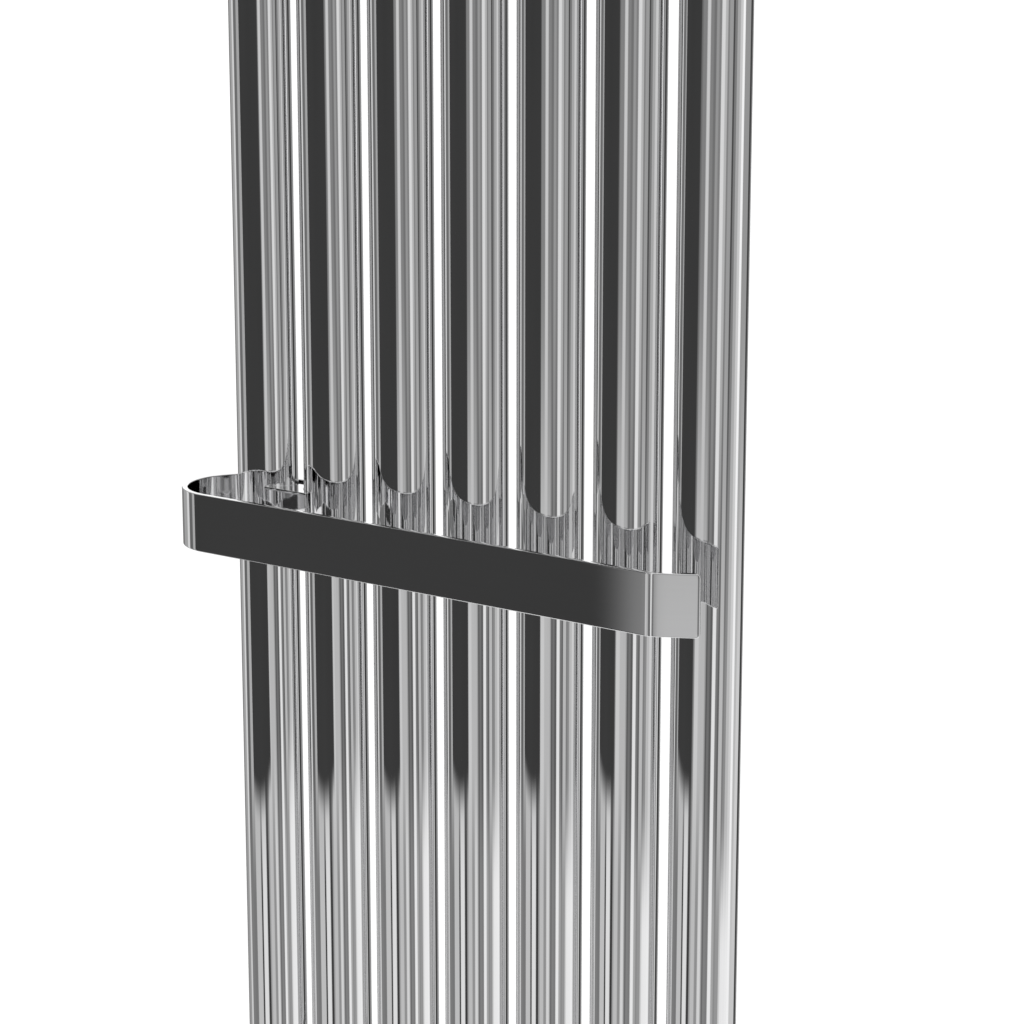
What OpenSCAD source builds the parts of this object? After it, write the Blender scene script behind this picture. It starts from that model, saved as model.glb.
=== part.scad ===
// Vertical bright-metal radiator of seven oval tubes with a clamped towel rail.
// Origin: centre of the four wall screw holes, on the wall. +X right, -Y front, +Z up.

/* [Oval tubes] */
// Distance between the centres of neighbouring tubes
tube_pitch = 60; // [56:1:70]
// Width of one tube, across the radiator
tube_w = 49.5; // [44:0.5:52]
// Depth of one tube, front to back
tube_d = 28.5; // [25:0.5:30]
// Radius of the two round ends of the oval
tube_end_r = 9.5; // [8:0.5:11]
// Thickness of the tube wall
tube_wall = 1.5; // [1:0.1:2]
// Height of the radiator, over the end caps
body_h = 1800; // [1400:100:2000]
// Thickness of the plate that closes a tube end
cap_t = 2; // [1:0.5:4]
// Distance from the wall to the middle plane of the tubes
tube_reach = 84; // [82:1:96]

/* [Headers] */
// Height of each header above or below the middle of the radiator
header_z = 840; // [640:10:840]
// Distance from the wall to the middle of the headers
header_reach = 52; // [50:1:53]
// Outer radius of a header
header_r = 15; // [14:0.5:15]
// Thickness of the header wall
header_wall = 1.5; // [1:0.1:2]
// Length of a header between its two end sockets
header_len = 378; // [376:2:382]
// Outer radius of the nipple that joins a header to a tube
nipple_r = 8; // [6:0.5:9]
// Thickness of the nipple wall
nipple_wall = 1.5; // [1:0.1:2]
// Length of the nipple
nipple_len = 7.5; // [7:0.5:9]
// Place of the plate that parts the inlet from the outlet in the lower header
baffle_x = -150; // [-165:1:-135]
// Thickness of that plate
baffle_t = 2; // [1:0.5:3]

/* [Pipe sockets] */
// Length of the socket that closes each header end
socket_len = 17; // [16:0.5:20]
// Radius of the half-inch pipe thread, at its crests
thread_r = 9.315; // [9.3:0.005:9.35]
// Depth of the pipe thread
thread_len = 14; // [12:0.5:15]
// Radius of the water way behind the thread
way_r = 7; // [5:0.5:8]

/* [Plug and air vent] */
// Radius of the plug's and the vent's flange
flange_r = 13; // [12:0.5:14]
// Thickness of that flange
flange_t = 4; // [3:0.5:6]
// Thickness of the seal under the flange
seal_t = 1.5; // [1:0.1:2]
// Length of the plug's and the vent's thread
plug_len = 11; // [8:0.5:12]
// Key size of the hexagon hole in the plug
plug_key = 10; // [8:1:12]
// Radius of the vent's nose
nose_r = 6; // [5:0.5:8]
// Length of the vent's nose
nose_len = 7; // [5:0.5:10]
// Radius of the vent screw
vent_r = 2.5; // [2:0.1:3]
// Side of the square end of the vent screw
vent_square = 5; // [4:0.5:6]

/* [Wall brackets] */
// Distance between the left and right wall holes
bracket_span = 240; // [120:120:240]
// Radius of the wall screw hole
screw_hole_r = 3.25; // [2.5:0.25:4]
// Radius of the stand's foot on the wall
foot_r = 18; // [15:1:22]
// Thickness of that foot
foot_t = 3; // [2:0.5:5]
// Radius of the stand's stem
stem_r = 10; // [9:0.5:10]
// Distance from the wall to the tip of the stem
stem_reach = 31; // [26:1:34]
// Radius of the hollow that holds the wall screw's head
cup_r = 6.5; // [5:0.5:7]
// Metal left under the wall screw's head
cup_floor = 6; // [5:1:10]
// Outer radius of the sleeve that slides over the stem
sleeve_r = 12.5; // [12:0.5:13]
// Gap between the stem and the sleeve
sleeve_gap = 0.1; // [0.05:0.05:0.15]
// Distance from the wall to the open end of the sleeve
sleeve_start = 8; // [6:1:12]
// Radius of the locking screw
grub_r = 2.4; // [2:0.1:3]

/* [Towel rail] */
// Height of the rail's middle from the middle of the radiator
rail_z = -430; // [-440:10:440]
// Height of the flat bar
rail_h = 39.5; // [30:0.5:50]
// Thickness of the flat bar
rail_t = 4; // [3:0.5:5]
// Distance from the tubes' middle plane to the rail's front face
rail_front = 63; // [54:0.5:66]
// Place of the middle of the round bend
bend_x = -184; // [-200:0.5:-180]
// Place where the front face ends and the flap begins
flap_x = 176.5; // [140:0.5:180]
// Outer radius of the bend between the front face and the flap
flap_bend_r = 11; // [8:0.5:16]
// Angle by which the flap leans back
flap_angle = 29; // [15:1:35]
// Length of the flat part of the flap
flap_len = 28; // [15:0.5:28]

/* [Rail clamp] */
// Width of the clamp block
clamp_w = 37.5; // [30:0.5:44]
// How far the block stands in front of the tubes
clamp_proud = 2.75; // [1:0.25:6]
// How far the block's neck reaches behind the tubes' middle plane
clamp_neck = 4; // [2:0.5:6]
// Gap between the block and the tubes
clamp_gap = 0.3; // [0.1:0.05:0.5]
// Radius of the clamp screw
clamp_screw_r = 3; // [2.5:0.25:3]
// Radius of the clamp screw's head
clamp_head_r = 5; // [4.5:0.25:5.5]
// Height of the clamp screw's head
clamp_head_h = 6; // [4:0.5:6]
// Key size of the nut behind the rail
nut_key = 10; // [9:0.5:11]
// Thickness of the nut
nut_t = 5; // [4:0.5:6]

/* [Hidden] */
$fn = 96;

tube_count = 7;
tube_y = -tube_reach;
header_y = -header_reach;
wall_x = bracket_span / 2;
fit_gap = 0.05;
through = 1;

header_end = header_len / 2;
socket_end = header_end + socket_len;
thread_fit = thread_r - 0.115;
hex_round = 1 / cos(30);

rail_y = tube_y - rail_front;
leg_gap = 0.75;
leg_y = tube_y + tube_d / 2 + leg_gap;
bend_r = (leg_y + rail_t - rail_y) / 2;
bend_y = rail_y + bend_r;
clamp_x = (tube_x(1) + tube_x(2)) / 2;
clamp_y = tube_y - tube_d / 2 - clamp_proud;
leg_end = clamp_x + clamp_w / 2;
flap_steps = 8;
screw_gap = 0.3;
head_sink = 0.5;
pad_t = 0.5;
pad_h = 30;

bright = [0.80, 0.80, 0.81];
satin = [0.66, 0.67, 0.68];
plated = [0.73, 0.74, 0.76];
seal_black = [0.08, 0.08, 0.09];
pad_grey = [0.35, 0.36, 0.37];

function tube_x(n) = (n - (tube_count + 1) / 2) * tube_pitch;

// Point of the bend in front of the flap, at radius r and angle a from the front face.
function bend_point(r, a) = [flap_x + r * sin(a), rail_y + flap_bend_r - r * cos(a)];

// Point at the flap's free end, on the side that bends at radius r.
function flap_tip(r) = bend_point(r, flap_angle) + flap_len * [cos(flap_angle), sin(flap_angle)];

// Outline of the flap and its bend, from the front face round the tip and back.
function flap_outline() = concat(
    [for (i = [0 : flap_steps]) bend_point(flap_bend_r, flap_angle * i / flap_steps)],
    [flap_tip(flap_bend_r), flap_tip(flap_bend_r - rail_t)],
    [for (i = [flap_steps : -1 : 0])
        bend_point(flap_bend_r - rail_t, flap_angle * i / flap_steps)]
);

// Solid oval prism of four tangent arcs: two round ends and two flatter sides.
module oval(w, d, end_r, h) {
    end_x = w / 2 - end_r;
    rise = d / 2 - end_r;
    drop = (end_x * end_x - rise * rise) / (2 * rise);
    side_r = d / 2 + drop;
    seam_x = end_x + end_r * end_x / (side_r - end_r);
    intersection() {
        translate([0, drop, 0]) cylinder(r = side_r, h = h);
        translate([0, -drop, 0]) cylinder(r = side_r, h = h);
        translate([-seam_x, -d, 0]) cube([2 * seam_x, 2 * d, h]);
    }
    for (side = [-1, 1]) translate([side * end_x, 0, 0]) cylinder(r = end_r, h = h);
}

// Solid rod along +X from x0 to x1, at height z behind the tubes.
module header_rod(x0, x1, r, z) {
    translate([x0, header_y, z]) rotate([0, 90, 0]) cylinder(r = r, h = x1 - x0);
}

// Solid rod along +Y from y0 to y1.
module depth_rod(x, y0, y1, r, z) {
    translate([x, y0, z]) rotate([-90, 0, 0]) cylinder(r = r, h = y1 - y0);
}

module oval_tube(n) {
    inner_h = body_h - 2 * cap_t;
    color(bright) difference() {
        translate([tube_x(n), tube_y, -inner_h / 2]) oval(tube_w, tube_d, tube_end_r, inner_h);
        translate([tube_x(n), tube_y, -body_h / 2])
            oval(tube_w - 2 * tube_wall, tube_d - 2 * tube_wall, tube_end_r - tube_wall, body_h);
        for (z = [-header_z, header_z])
            depth_rod(tube_x(n), tube_y, tube_y + tube_d, nipple_r + fit_gap, z);
    }
}

module top_cap(n) {
    color(bright) translate([tube_x(n), tube_y, body_h / 2 - cap_t])
        oval(tube_w, tube_d, tube_end_r, cap_t);
}

module base_cap(n) {
    color(bright) translate([tube_x(n), tube_y, -body_h / 2])
        oval(tube_w, tube_d, tube_end_r, cap_t);
}

module header(z) {
    color(bright) difference() {
        header_rod(-header_end, header_end, header_r, z);
        header_rod(-header_end - through, header_end + through, header_r - header_wall, z);
        for (n = [1 : tube_count])
            depth_rod(tube_x(n), header_y - header_r - through, header_y, nipple_r + fit_gap, z);
    }
}

// Seven short nipples, one from the header to each tube.
module nipples(z) {
    middle = (tube_y + tube_d / 2 + header_y - header_r) / 2;
    y0 = middle - nipple_len / 2;
    y1 = middle + nipple_len / 2;
    color(satin) for (n = [1 : tube_count]) difference() {
        depth_rod(tube_x(n), y0, y1, nipple_r, z);
        depth_rod(tube_x(n), y0 - through, y1 + through, nipple_r - nipple_wall, z);
    }
}

module flow_baffle() {
    color(satin) header_rod(baffle_x - baffle_t / 2, baffle_x + baffle_t / 2,
        header_r - header_wall - fit_gap, -header_z);
}

// Threaded socket at one end of a header; side is -1 at the left and 1 at the right.
module pipe_socket(side, z) {
    color(bright) mirror([side < 0 ? 1 : 0, 0, 0]) difference() {
        header_rod(header_end, socket_end, header_r, z);
        header_rod(header_end - through, socket_end, way_r, z);
        header_rod(socket_end - thread_len, socket_end + through, thread_r, z);
    }
}

// Flat ring under the flange of the plug or the vent.
module flange_seal(side) {
    color(seal_black) mirror([side < 0 ? 1 : 0, 0, 0]) difference() {
        header_rod(socket_end, socket_end + seal_t, flange_r - 0.5, header_z);
        header_rod(socket_end - through, socket_end + seal_t + through, thread_r, header_z);
    }
}

module flanged_body() {
    flange_start = socket_end + seal_t;
    header_rod(flange_start - plug_len, flange_start, thread_fit, header_z);
    header_rod(flange_start, flange_start + flange_t, flange_r, header_z);
}

module blanking_plug() {
    flange_end = socket_end + seal_t + flange_t;
    key_r = plug_key / 2 * hex_round;
    color(bright) difference() {
        flanged_body();
        translate([flange_end - 6, header_y, header_z]) rotate([0, 90, 0])
            cylinder(r = key_r, h = 7, $fn = 6);
    }
}

module vent_body() {
    flange_end = socket_end + seal_t + flange_t;
    nose_end = flange_end + nose_len;
    color(bright) mirror([1, 0, 0]) difference() {
        union() {
            flanged_body();
            header_rod(flange_end, nose_end, nose_r, header_z);
        }
        header_rod(socket_end - plug_len, nose_end + through, vent_r / 2, header_z);
        header_rod(socket_end + seal_t, nose_end + through, vent_r + fit_gap, header_z);
        translate([flange_end + nose_len / 2, header_y, header_z - nose_r - through])
            cylinder(r = 1, h = nose_r);
    }
}

module vent_screw() {
    nose_end = socket_end + seal_t + flange_t + nose_len;
    stem_start = socket_end + seal_t + 2;
    square_start = nose_end + 0.5;
    color(plated) mirror([1, 0, 0]) {
        header_rod(stem_start, square_start, vent_r, header_z);
        translate([square_start, header_y - vent_square / 2, header_z - vent_square / 2])
            cube([5, vent_square, vent_square]);
    }
}

// Sleeve welded to the back of a header, which slides over the stand's stem.
module sleeve(x, z) {
    color(satin) difference() {
        depth_rod(x, header_y, -sleeve_start, sleeve_r, z);
        depth_rod(x, header_y, 0, stem_r + sleeve_gap, z);
        header_rod(x - 2 * header_r, x + 2 * header_r, header_r, z);
        translate([x, -stem_reach + header_r / 2, z - sleeve_r - through])
            cylinder(r = grub_r + fit_gap, h = sleeve_r);
    }
}

// Turned stand fixed to the wall by one screw through its foot.
module wall_stand(x, z) {
    color(satin) difference() {
        union() {
            depth_rod(x, -foot_t, 0, foot_r, z);
            depth_rod(x, -stem_reach, -foot_t, stem_r, z);
        }
        depth_rod(x, -stem_reach - through, -cup_floor, cup_r, z);
        depth_rod(x, -stem_reach, through, screw_hole_r, z);
    }
}

// Locking screw that holds the sleeve on the stem, turned in from below.
module grub_screw(x, z) {
    key_r = 1.25 * hex_round;
    tip = stem_r + fit_gap;
    tail = sleeve_r + 1.5;
    color(plated) translate([x, -stem_reach + header_r / 2, z - tail]) difference() {
        cylinder(r = grub_r, h = tail - tip);
        translate([0, 0, -through]) cylinder(r = key_r, h = 2.5, $fn = 6);
    }
}

module rail_strip() {
    color(bright) difference() {
        translate([0, 0, rail_z - rail_h / 2]) union() {
            translate([bend_x, rail_y, 0]) cube([flap_x - bend_x, rail_t, rail_h]);
            translate([bend_x, bend_y, 0]) rotate([0, 0, 90]) rotate_extrude(angle = 180)
                translate([bend_r - rail_t, 0]) square([rail_t, rail_h]);
            translate([bend_x, leg_y, 0]) cube([leg_end - bend_x, rail_t, rail_h]);
            linear_extrude(height = rail_h) polygon(flap_outline());
        }
        depth_rod(clamp_x, leg_y - through, leg_y + rail_t + through,
            clamp_screw_r + screw_gap, rail_z);
    }
}

// Block that fills the valley between the first two tubes, with a neck in the gap.
module clamp_block() {
    neck_w = tube_pitch - tube_w - 2 * clamp_gap;
    head_end = clamp_y + head_sink + clamp_head_h + screw_gap;
    color(bright) difference() {
        translate([0, 0, rail_z - rail_h / 2]) {
            translate([clamp_x - clamp_w / 2, clamp_y, 0])
                cube([clamp_w, tube_y - clamp_y, rail_h]);
            translate([clamp_x - neck_w / 2, tube_y, 0]) cube([neck_w, clamp_neck, rail_h]);
        }
        for (n = [1, 2]) translate([tube_x(n), tube_y, rail_z - rail_h])
            oval(tube_w + 2 * clamp_gap, tube_d + 2 * clamp_gap, tube_end_r + clamp_gap, 2 * rail_h);
        depth_rod(clamp_x, clamp_y - through, tube_y + tube_d,
            clamp_screw_r + screw_gap, rail_z);
        depth_rod(clamp_x, clamp_y - through, head_end, clamp_head_r + screw_gap, rail_z);
    }
}

// Thin strip that keeps the rail's back leg off the bright tubes.
module clamp_pad() {
    color(pad_grey) difference() {
        translate([bend_x, leg_y - pad_t - fit_gap, rail_z - pad_h / 2])
            cube([leg_end - bend_x, pad_t, pad_h]);
        depth_rod(clamp_x, leg_y - 2 * through, leg_y + through, clamp_head_r, rail_z);
    }
}

module clamp_screw() {
    head_y = clamp_y + head_sink + clamp_head_h;
    key_r = 2.5 * hex_round;
    color(plated) difference() {
        union() {
            depth_rod(clamp_x, clamp_y + head_sink, head_y, clamp_head_r, rail_z);
            depth_rod(clamp_x, head_y, leg_y + rail_t + nut_t + 1, clamp_screw_r, rail_z);
        }
        translate([clamp_x, clamp_y, rail_z]) rotate([-90, 0, 0])
            cylinder(r = key_r, h = 4, $fn = 6);
    }
}

module clamp_nut() {
    color(plated) translate([clamp_x, leg_y + rail_t, rail_z]) rotate([-90, 0, 0])
        difference() {
            cylinder(r = nut_key / 2 * hex_round, h = nut_t, $fn = 6);
            translate([0, 0, -through]) cylinder(r = clamp_screw_r + fit_gap, h = nut_t + 2);
        }
}

oval_tube(1);  // tube_1
oval_tube(2);  // tube_2
oval_tube(3);  // tube_3
oval_tube(4);  // tube_4
oval_tube(5);  // tube_5
oval_tube(6);  // tube_6
oval_tube(7);  // tube_7
top_cap(1);  // top_cap_1
top_cap(2);  // top_cap_2
top_cap(3);  // top_cap_3
top_cap(4);  // top_cap_4
top_cap(5);  // top_cap_5
top_cap(6);  // top_cap_6
top_cap(7);  // top_cap_7
base_cap(1);  // base_cap_1
base_cap(2);  // base_cap_2
base_cap(3);  // base_cap_3
base_cap(4);  // base_cap_4
base_cap(5);  // base_cap_5
base_cap(6);  // base_cap_6
base_cap(7);  // base_cap_7
header(header_z);  // upper_header
header(-header_z);  // lower_header
nipples(header_z);  // upper_nipples
nipples(-header_z);  // lower_nipples
flow_baffle();
pipe_socket(-1, -header_z);  // inlet_socket
pipe_socket(1, -header_z);  // outlet_socket
pipe_socket(-1, header_z);  // vent_socket
pipe_socket(1, header_z);  // plug_socket
blanking_plug();
flange_seal(1);  // plug_seal
vent_body();
flange_seal(-1);  // vent_seal
vent_screw();
sleeve(-wall_x, header_z);  // sleeve_upper_left
sleeve(wall_x, header_z);  // sleeve_upper_right
sleeve(-wall_x, -header_z);  // sleeve_lower_left
sleeve(wall_x, -header_z);  // sleeve_lower_right
wall_stand(-wall_x, header_z);  // stand_upper_left
wall_stand(wall_x, header_z);  // stand_upper_right
wall_stand(-wall_x, -header_z);  // stand_lower_left
wall_stand(wall_x, -header_z);  // stand_lower_right
grub_screw(-wall_x, header_z);  // grub_upper_left
grub_screw(wall_x, header_z);  // grub_upper_right
grub_screw(-wall_x, -header_z);  // grub_lower_left
grub_screw(wall_x, -header_z);  // grub_lower_right
rail_strip();
clamp_block();
clamp_pad();
clamp_screw();
clamp_nut();
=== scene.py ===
"""Looks of a bright vertical radiator with a clamped towel rail, built round its CAD frame."""

import logging
import math
from dataclasses import dataclass
from enum import Enum

import bmesh
import bpy
from mathutils import Matrix, Vector


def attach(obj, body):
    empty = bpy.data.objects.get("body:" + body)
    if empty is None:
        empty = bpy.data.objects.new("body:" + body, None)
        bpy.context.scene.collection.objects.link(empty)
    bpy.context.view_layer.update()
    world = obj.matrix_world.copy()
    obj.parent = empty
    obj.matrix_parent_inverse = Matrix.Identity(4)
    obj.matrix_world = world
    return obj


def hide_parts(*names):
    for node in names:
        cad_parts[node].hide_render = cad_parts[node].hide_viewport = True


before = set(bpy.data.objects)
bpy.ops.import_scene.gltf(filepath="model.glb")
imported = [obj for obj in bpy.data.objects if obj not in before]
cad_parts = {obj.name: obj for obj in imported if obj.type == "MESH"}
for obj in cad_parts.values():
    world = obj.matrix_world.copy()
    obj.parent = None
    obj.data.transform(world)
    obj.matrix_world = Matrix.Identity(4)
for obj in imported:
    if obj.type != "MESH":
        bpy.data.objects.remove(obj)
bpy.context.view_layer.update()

log = logging.getLogger("radiator")

MM = 0.001
TUBE_COUNT = 7
TUBE_PITCH = 60.0
TUBE_Y = -84.0
HEADER_Y = -52.0
HEADER_Z = 840.0
HEADER_END = 189.0
SOCKET_END = 206.0
BODY_TOP = 900.0
RAIL_Z = -430.0
CLAMP_X = -150.0
MERGE = 0.0005  # points nearer than this are one, in millimetres
NEAR = 0.01  # lengths that differ by less are the same, in millimetres
CREASE = 36.0  # edges sharper than this are shaded as edges, in degrees
CORNER = 60.0  # edges sharper than this are corners and not bends, in degrees
METAL_RETURN = 0.87  # share of the light that bright metal gives back
GLOW = {"Base Color": (0.0, 0.0, 0.0, 1.0), "Specular IOR Level": 0.0, "Roughness": 1.0,
        "Emission Strength": 1.0}

Triple = tuple[float, float, float]
Profile = list[tuple[float, float]]
Edges = list[bmesh.types.BMEdge]


class Body(Enum):
    """CAD bodies that pieces ride on."""

    RADIATOR = "radiator"
    RAIL = "towel_rail"
    VENT = "vent_screw"


class Level(Enum):
    """Upper or lower end of the radiator."""

    UPPER = 1
    LOWER = -1


class Side(Enum):
    """Left or right half of the radiator."""

    LEFT = -1
    RIGHT = 1


def tube_x(number: int) -> float:
    """Place of one tube's middle, counted from 1 at the left, in millimetres."""
    return (number - (TUBE_COUNT + 1) / 2) * TUBE_PITCH


# Shader graphs


class Val:
    """A float socket of a shader graph that takes ordinary arithmetic."""

    def __init__(self, graph: "Graph", socket: bpy.types.NodeSocket) -> None:
        """Wraps one output socket of a graph."""
        self.graph = graph
        self.socket = socket

    def _math(self, operation: str, first: object, second: object) -> "Val":
        """Adds one Math node.

        Args:
            operation: the Math node's operation.
            first: the first operand, a number or a Val.
            second: the second operand, a number or a Val.

        Returns:
            The node's output as a Val.
        """
        node = self.graph.node("ShaderNodeMath", {"operation": operation}, {0: first, 1: second})
        return Val(self.graph, node.outputs[0])

    def __add__(self, other: object) -> "Val":
        """Sum."""
        return self._math("ADD", self, other)

    def __sub__(self, other: object) -> "Val":
        """Difference."""
        return self._math("SUBTRACT", self, other)

    def __rsub__(self, other: object) -> "Val":
        """Difference, written the other way round."""
        return self._math("SUBTRACT", other, self)

    def __mul__(self, other: object) -> "Val":
        """Product."""
        return self._math("MULTIPLY", self, other)

    def angle_from(self, other: object) -> "Val":
        """Angle of the point (other, self), in radians."""
        return self._math("ARCTAN2", self, other)


class Graph:
    """The node tree of one material or world."""

    def __init__(self, tree: bpy.types.NodeTree) -> None:
        """Empties a node tree and keeps it."""
        self.tree = tree
        tree.nodes.clear()

    def node(self, kind: str, settings: dict | None = None, inputs: dict | None = None) -> bpy.types.Node:
        """Adds one node.

        Args:
            kind: the node's type.
            settings: attributes to set before any input.
            inputs: socket name or number to a value, a socket or a Val.

        Returns:
            The new node.
        """
        made = self.tree.nodes.new(kind)
        for name, value in (settings or {}).items():
            setattr(made, name, value)
        for name, value in (inputs or {}).items():
            if isinstance(value, Val):
                value = value.socket
            if isinstance(value, bpy.types.NodeSocket):
                self.tree.links.new(value, made.inputs[name])
            else:
                made.inputs[name].default_value = value
        return made

    def place(self, scale: Triple) -> bpy.types.NodeSocket:
        """Object coordinates, stretched.

        Args:
            scale: how many units of texture lie in one metre along each axis.

        Returns:
            The mapped coordinates.
        """
        where = self.node("ShaderNodeTexCoord")
        mapping = self.node("ShaderNodeMapping", None, {"Vector": where.outputs["Object"], "Scale": scale})
        return mapping.outputs["Vector"]

    def noise(self, scale: Triple, detail: float, roughness: float = 0.5) -> Val:
        """Noise over object coordinates.

        Args:
            scale: the noise's cells in one metre along each axis.
            detail: how many finer layers are added.
            roughness: how strong the finer layers are.

        Returns:
            The noise, about 0.5 on average.
        """
        inputs = {"Vector": self.place(scale), "Scale": 1.0, "Detail": detail, "Roughness": roughness}
        return Val(self, self.node("ShaderNodeTexNoise", {"noise_dimensions": "3D"}, inputs).outputs[0])

    def mix(self, factor: Val, low: object, high: object) -> bpy.types.NodeSocket:
        """Blend of two colours.

        Args:
            factor: 0 for low and 1 for high.
            low: a colour or a colour socket.
            high: a colour or a colour socket.

        Returns:
            The blended colour.
        """
        def four(value: object) -> object:
            """A colour with its alpha, or the socket as it is."""
            return (*value, 1.0) if isinstance(value, tuple) else value

        made = self.node("ShaderNodeMix", {"data_type": "RGBA"}, {0: factor, 6: four(low), 7: four(high)})
        return made.outputs[2]

    def step(self, value: Val, start: float, end: float) -> Val:
        """Smooth step of a value.

        Args:
            value: what is compared.
            start: where the step leaves 0.
            end: where the step reaches 1.

        Returns:
            The step's height there.
        """
        inputs = {"Value": value, "From Min": start, "From Max": end}
        made = self.node("ShaderNodeMapRange", {"interpolation_type": "SMOOTHSTEP"}, inputs)
        return Val(self, made.outputs[0])

    def bump(self, height: Val) -> bpy.types.NodeSocket:
        """Normal bent by a height in metres."""
        inputs = {"Strength": 1.0, "Distance": 1.0, "Height": height}
        return self.node("ShaderNodeBump", None, inputs).outputs[0]

    def split(self) -> tuple[Val, Val, Val]:
        """Object coordinates as three separate values."""
        where = self.node("ShaderNodeTexCoord")
        parts = self.node("ShaderNodeSeparateXYZ", None, {0: where.outputs["Object"]})
        return tuple(Val(self, socket) for socket in parts.outputs)

    def surface(self, inputs: dict) -> None:
        """Principled shader joined to the output."""
        shader = self.node("ShaderNodeBsdfPrincipled", None, inputs)
        self.node("ShaderNodeOutputMaterial", None, {"Surface": shader.outputs[0]})


def new_material(name: str) -> tuple[bpy.types.Material, Graph]:
    """A material with an empty graph."""
    made = bpy.data.materials.new(name)
    made.use_nodes = True
    return made, Graph(made.node_tree)


# Finishes


@dataclass(frozen=True)
class Metal:
    """A bare or plated metal with fine lines along one direction and a slow waviness."""

    name: str
    low: Triple
    high: Triple
    roughness: float
    spread: float
    grain: Triple
    line_depth: float
    wave_depth: float
    patch_cells: Triple = (9.0, 9.0, 9.0)
    wave_cells: Triple = (22.0, 22.0, 7.0)

    def build(self) -> bpy.types.Material:
        """The metal as a material."""
        made, graph = new_material(self.name)
        lines = graph.noise(self.grain, 3.0, 0.6)
        patches = graph.noise(self.patch_cells, 2.0)
        wave = graph.noise(self.wave_cells, 0.0)
        tone = lines * 0.5 + patches * 0.5
        height = lines * (self.line_depth * MM) + wave * (self.wave_depth * MM)
        graph.surface({
            "Base Color": graph.mix(tone, self.low, self.high),
            "Metallic": 1.0,
            "Roughness": (lines - 0.5) * self.spread + (patches - 0.5) * self.spread + self.roughness,
            "Normal": graph.bump(height),
        })
        return made


@dataclass(frozen=True)
class Polymer:
    """A rubber or plastic with a fine speckled grain."""

    name: str
    low: Triple
    high: Triple
    roughness: float
    cells: float
    depth: float
    patch_cells: Triple = (30.0, 30.0, 30.0)

    def build(self) -> bpy.types.Material:
        """The polymer as a material."""
        made, graph = new_material(self.name)
        speckle = graph.noise((self.cells, self.cells, self.cells), 4.0, 0.6)
        patches = graph.noise(self.patch_cells, 2.0)
        height = speckle * (self.depth * MM)
        graph.surface({
            "Base Color": graph.mix(patches * 0.6 + speckle * 0.4, self.low, self.high),
            "Roughness": (speckle - 0.5) * 0.2 + self.roughness,
            "Normal": graph.bump(height),
        })
        return made


class Finish(Enum):
    """Every finish on the object, with the record's material slot it stands for."""

    TUBE = ("tube_chrome", Metal("tube_chrome_bright", (0.84, 0.84, 0.85), (0.90, 0.90, 0.90),
            0.030, 0.012, (420.0, 420.0, 3.0), 0.00012, 0.0030))
    FITTING = ("fitting_chrome", Metal("fitting_chrome_bright", (0.80, 0.80, 0.81), (0.88, 0.88, 0.88),
            0.055, 0.030, (5.0, 500.0, 500.0), 0.0003, 0.004))
    RAIL = ("rail_chrome", Metal("rail_chrome_bright", (0.83, 0.83, 0.84), (0.89, 0.89, 0.89),
            0.035, 0.014, (6.0, 6.0, 420.0), 0.00012, 0.0030))
    WELD = ("weld_steel", Metal("weld_steel_polished", (0.50, 0.50, 0.51), (0.70, 0.70, 0.70),
            0.24, 0.16, (260.0, 260.0, 260.0), 0.006, 0.004))
    BRACKET = ("bracket_steel", Metal("bracket_steel_turned", (0.56, 0.56, 0.57), (0.70, 0.70, 0.70),
            0.26, 0.12, (30.0, 900.0, 30.0), 0.0012, 0.002))
    ZINC = ("zinc_steel", Metal("zinc_plated_steel", (0.55, 0.57, 0.60), (0.74, 0.75, 0.77),
            0.30, 0.16, (300.0, 300.0, 300.0), 0.002, 0.002))
    SEAL = ("seal_rubber", Polymer("seal_rubber_black", (0.010, 0.010, 0.011), (0.030, 0.030, 0.032),
            0.62, 900.0, 0.02))
    PAD = ("pad_rubber", Polymer("pad_rubber_grey", (0.10, 0.10, 0.105), (0.17, 0.17, 0.175),
            0.70, 900.0, 0.02))

    def material(self) -> bpy.types.Material:
        """The finish's material, made the first time it is asked for."""
        _, finish = self.value
        return bpy.data.materials.get(finish.name) or finish.build()


# Shapes


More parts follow.
